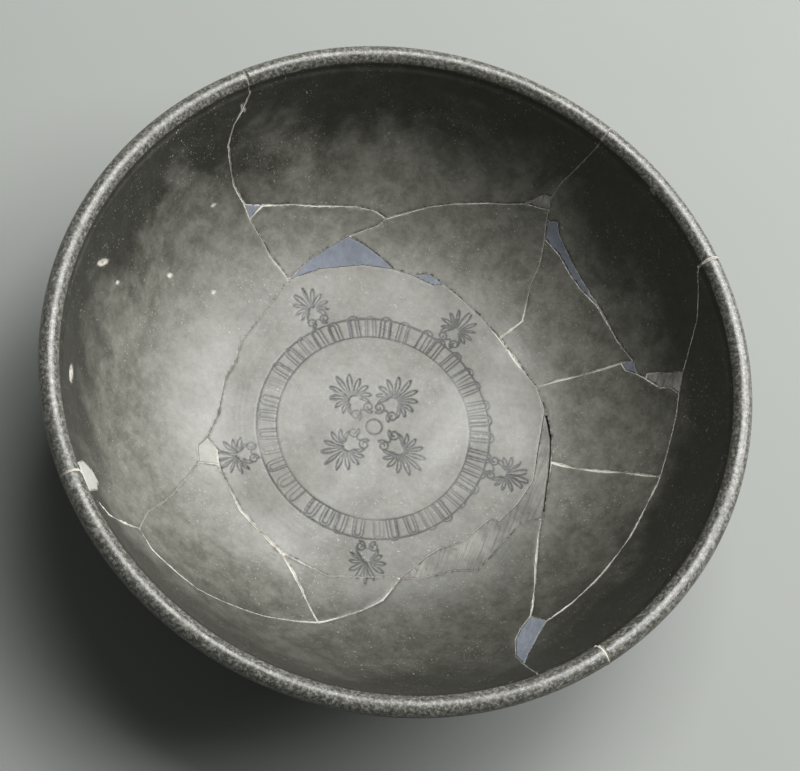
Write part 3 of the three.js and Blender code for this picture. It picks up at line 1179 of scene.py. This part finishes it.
@dataclass(frozen=True)
class Eye:
    """The camera that sees what the photograph shows."""

    aim_height: float = 67.8 * MM
    elevation: float = radians(65.61)
    roll: float = radians(23.25)
    distance: float = 660 * MM
    focal_pixels: float = 2170
    shift_pixels: Pair = (-3.9, -23.8)
    sensor: float = 36
    nearest: float = 10 * MM

    def build(self) -> None:
        """Makes the scene's camera."""
        back = Vector((0, -cos(self.elevation), sin(self.elevation)))
        right = Vector((1, 0, 0))
        up = back.cross(right)
        turned_right = right * cos(self.roll) + up * sin(self.roll)
        turned_up = up * cos(self.roll) - right * sin(self.roll)
        data = bpy.data.cameras.new("eye")
        data.sensor_width = self.sensor
        data.lens = self.focal_pixels / PHOTO_WIDTH * self.sensor
        data.shift_x, data.shift_y = (s / PHOTO_WIDTH for s in self.shift_pixels)
        data.clip_start = self.nearest
        camera = bpy.data.objects.new("eye", data)
        place = Matrix.Translation(Vector((0, 0, self.aim_height)) + back * self.distance)
        camera.matrix_world = place @ Matrix((turned_right, turned_up, back)).transposed().to_4x4()
        bpy.context.scene.collection.objects.link(camera)
        bpy.context.scene.camera = camera


@dataclass(frozen=True)
class Lamp:
    """A soft square light that looks at the bowl from an azimuth and elevation in degrees."""

    name: str
    azimuth: float
    elevation: float
    distance: float
    size: float
    power: float

    def build(self) -> None:
        """Makes the light."""
        data = bpy.data.lights.new(self.name, "AREA")
        data.size = self.size
        data.energy = self.power
        turn, rise = radians(self.azimuth), radians(self.elevation)
        level = cos(rise)
        out = Vector((cos(turn) * level, sin(turn) * level, sin(rise)))
        lamp = bpy.data.objects.new(self.name, data)
        lamp.location = out * self.distance
        lamp.rotation_euler = out.to_track_quat("Z", "Y").to_euler()
        bpy.context.scene.collection.objects.link(lamp)


@dataclass(frozen=True)
class Studio:
    """A pale floor, a dim surround and soft lights from the upper right."""

    floor_colour: Colour = (0.215, 0.225, 0.212)
    floor_size: float = 6.0
    floor_roughness: float = 0.85
    surround: Colour = (0.36, 0.37, 0.36)
    surround_strength: float = 0.36
    lamps: tuple[Lamp, ...] = (
        Lamp("window", 46, 46, 1.5, 1.3, 42),
        Lamp("overhead", 88, 67, 1.6, 0.9, 26),
    )

    def floor(self) -> None:
        """Makes the pale floor that the bowl stands on."""
        bm = bmesh.new()
        bmesh.ops.create_grid(bm, x_segments=1, y_segments=1, size=self.floor_size / 2)
        floor = object_from(bm, "studio_floor")
        tree = Tree("pale_paper")
        shade = tree.ramp(tree.noise(Pattern(14, 3)), 0.3, 0.7)
        tree.finish("Base Color", tree.mix(shade, shaded(self.floor_colour, 0.985), self.floor_colour))
        tree.shader.inputs["Roughness"].default_value = self.floor_roughness
        floor.data.materials.append(tree.material)

    def build(self) -> None:
        """Makes the floor, the surround and the lights."""
        self.floor()
        world = bpy.data.worlds.new("surround")
        world.use_nodes = True
        background = world.node_tree.nodes["Background"]
        background.inputs["Color"].default_value = (*self.surround, 1)
        background.inputs["Strength"].default_value = self.surround_strength
        bpy.context.scene.world = world
        bpy.context.scene.view_settings.view_transform = "Standard"
        for lamp in self.lamps:
            lamp.build()


GREY_PLASTER = PlasterFinish("tinted_grey_plaster", (0.155, 0.17, 0.197), (0.10, 0.112, 0.134), 500, 0.3)
ROUGH_PLASTER = PlasterFinish(
    "rough_pale_plaster", (0.21, 0.207, 0.187), (0.095, 0.093, 0.083), 380, 0.75, tooling=1.0
)
SMOOTH_PLASTER = PlasterFinish("smooth_pale_plaster", (0.34, 0.335, 0.305), (0.22, 0.217, 0.198), 420, 0.3)
OLD_GLUE = PlasterFinish(
    "old_glue", (0.60, 0.58, 0.52), (0.36, 0.35, 0.31), 900, 0.5, dirt=(0.022, 0.021, 0.018)
)


def main() -> None:
    logging.basicConfig(level=logging.INFO, format="%(name)s %(message)s")
    Eye().build()
    finishes = {
        Slot.GLAZE: GlazeFinish().build(),
        Slot.GREY: GREY_PLASTER.build(),
        Slot.PALE: ROUGH_PLASTER.build(),
    }
    low, high = CAD_BOX
    section = Section(rim_radius=(high.x - low.x) / 2, height=high.z - low.z)
    centre = Vector((0, 0, section.height + BREAK_RISE))
    breakage = Breakage(centre, float(section.lip_edge[0]) - MM, Showing(section))
    mend = Mend(section, Stamps(Decoration()), breakage, finishes, SMOOTH_PLASTER.build())
    broken_bowl = sorted(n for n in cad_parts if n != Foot.node)
    for node in broken_bowl:
        mend.piece(node)
    mend.glue(broken_bowl, OLD_GLUE.build())
    Foot(ClayFinish().build()).build()
    Studio().build()


if __name__ == "__main__":
    main()
